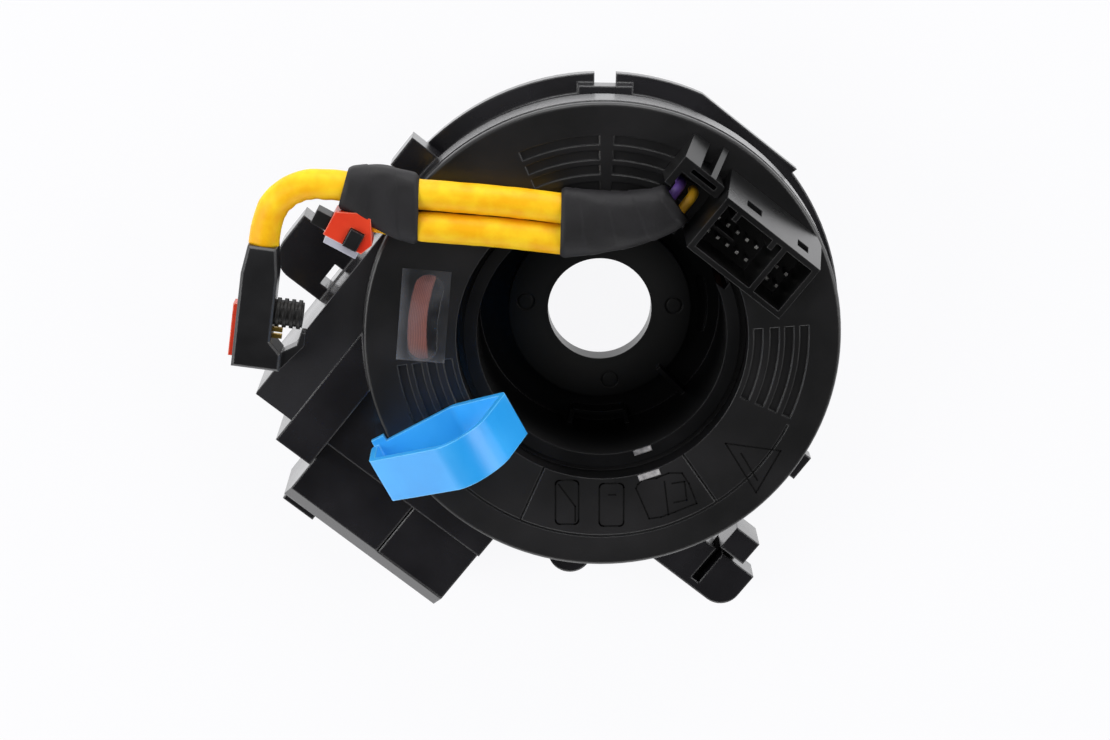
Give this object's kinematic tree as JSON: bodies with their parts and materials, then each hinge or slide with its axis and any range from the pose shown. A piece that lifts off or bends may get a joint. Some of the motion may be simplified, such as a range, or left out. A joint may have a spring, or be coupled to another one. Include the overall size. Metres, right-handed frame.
{
  "type": "steering clock spring",
  "caption": "Rotary connector for a steering column: a dished rotor on a round case, with a connector shroud, airbag leads, a side connector and a pull-off transit loop.",
  "frame": {"origin": "on the steering axis, in the plane of the flat back where the rotor's bore ends", "axes": "+Z along the steering axis towards the wheel; -Y towards the vehicle-side connector; -X towards the free ends of the airbag leads"},
  "size_m": [0.1498, 0.1373, 0.0644],
  "materials": {
    "case_black": "fine-textured moulding, near black, with a soft sheen",
    "rotor_black": "fine-textured moulding, near black, with a soft sheen",
    "connector_black": "smooth moulding, near black",
    "cover_grey_black": "matt moulding, dark grey",
    "plug_black": "smooth moulding, near black",
    "cable_salmon": "edges of wound flat cable",
    "label_film": "clear film with a faint grey cast",
    "lock_blue": "smooth sky blue moulding",
    "tube_yellow": "satin golden yellow sleeving",
    "tape_black": "dull wrapped tape",
    "clip_orange": "smooth orange red moulding",
    "plate_pale": "smooth pale moulding",
    "pin_plated": "tin-plated pins",
    "contact_brass": "bare brass",
    "wire_violet": "wire insulation",
    "wire_yellow": "wire insulation"
  },
  "bodies": {
    "stator": {"stator_case": "case_black", "back_cover": "case_black", "side_cover": "cover_grey_black", "vehicle_connector": "case_black", "connector_cap": "connector_black", "vehicle_pins": "pin_plated", "flat_cable_coil": "cable_salmon"},
    "rotor": {"rotor_cover": "rotor_black", "rotor_hub": "rotor_black", "window_label": "label_film", "switch_connector": "connector_black", "switch_pins": "pin_plated", "horn_pins": "pin_plated", "cable_guide": "rotor_black", "signal_wire_violet": "wire_violet", "signal_wire_yellow": "wire_yellow", "airbag_tube_a": "tube_yellow", "airbag_tube_b": "tube_yellow", "lead_sleeve_1": "tape_black", "lead_sleeve_2": "tape_black", "plug_1_body": "plug_black", "plug_1_nose": "plug_black", "plug_1_contacts": "contact_brass", "plug_2_body": "clip_orange", "plug_2_nose": "plug_black", "plug_2_plate": "plate_pale"},
    "plug_1_lock": {"plug_1_lock": "clip_orange"},
    "plug_2_lock": {"plug_2_lock": "plug_black"},
    "transit_lock": {"transit_lock": "lock_blue"}
  },
  "joints": [
    {"name": "rotor_turn", "type": "hinge", "parent": "stator", "child": "rotor", "pos_m": [0, 0, 0], "axis": [0, 0, 1], "range_deg": [-900, 900]},
    {"name": "plug_1_lock_slide", "type": "slide", "parent": "rotor", "child": "plug_1_lock", "axis": [-0.8595, -0.5111, 0], "range_m": [0, 0.002]},
    {"name": "plug_2_lock_slide", "type": "slide", "parent": "rotor", "child": "plug_2_lock", "axis": [0, 0, 1], "range_m": [0, 0.0015]},
    {"name": "transit_lock_lift", "type": "slide", "parent": "rotor", "child": "transit_lock", "axis": [0, 0, 1], "range_m": [0, 0.02]}
  ]
}
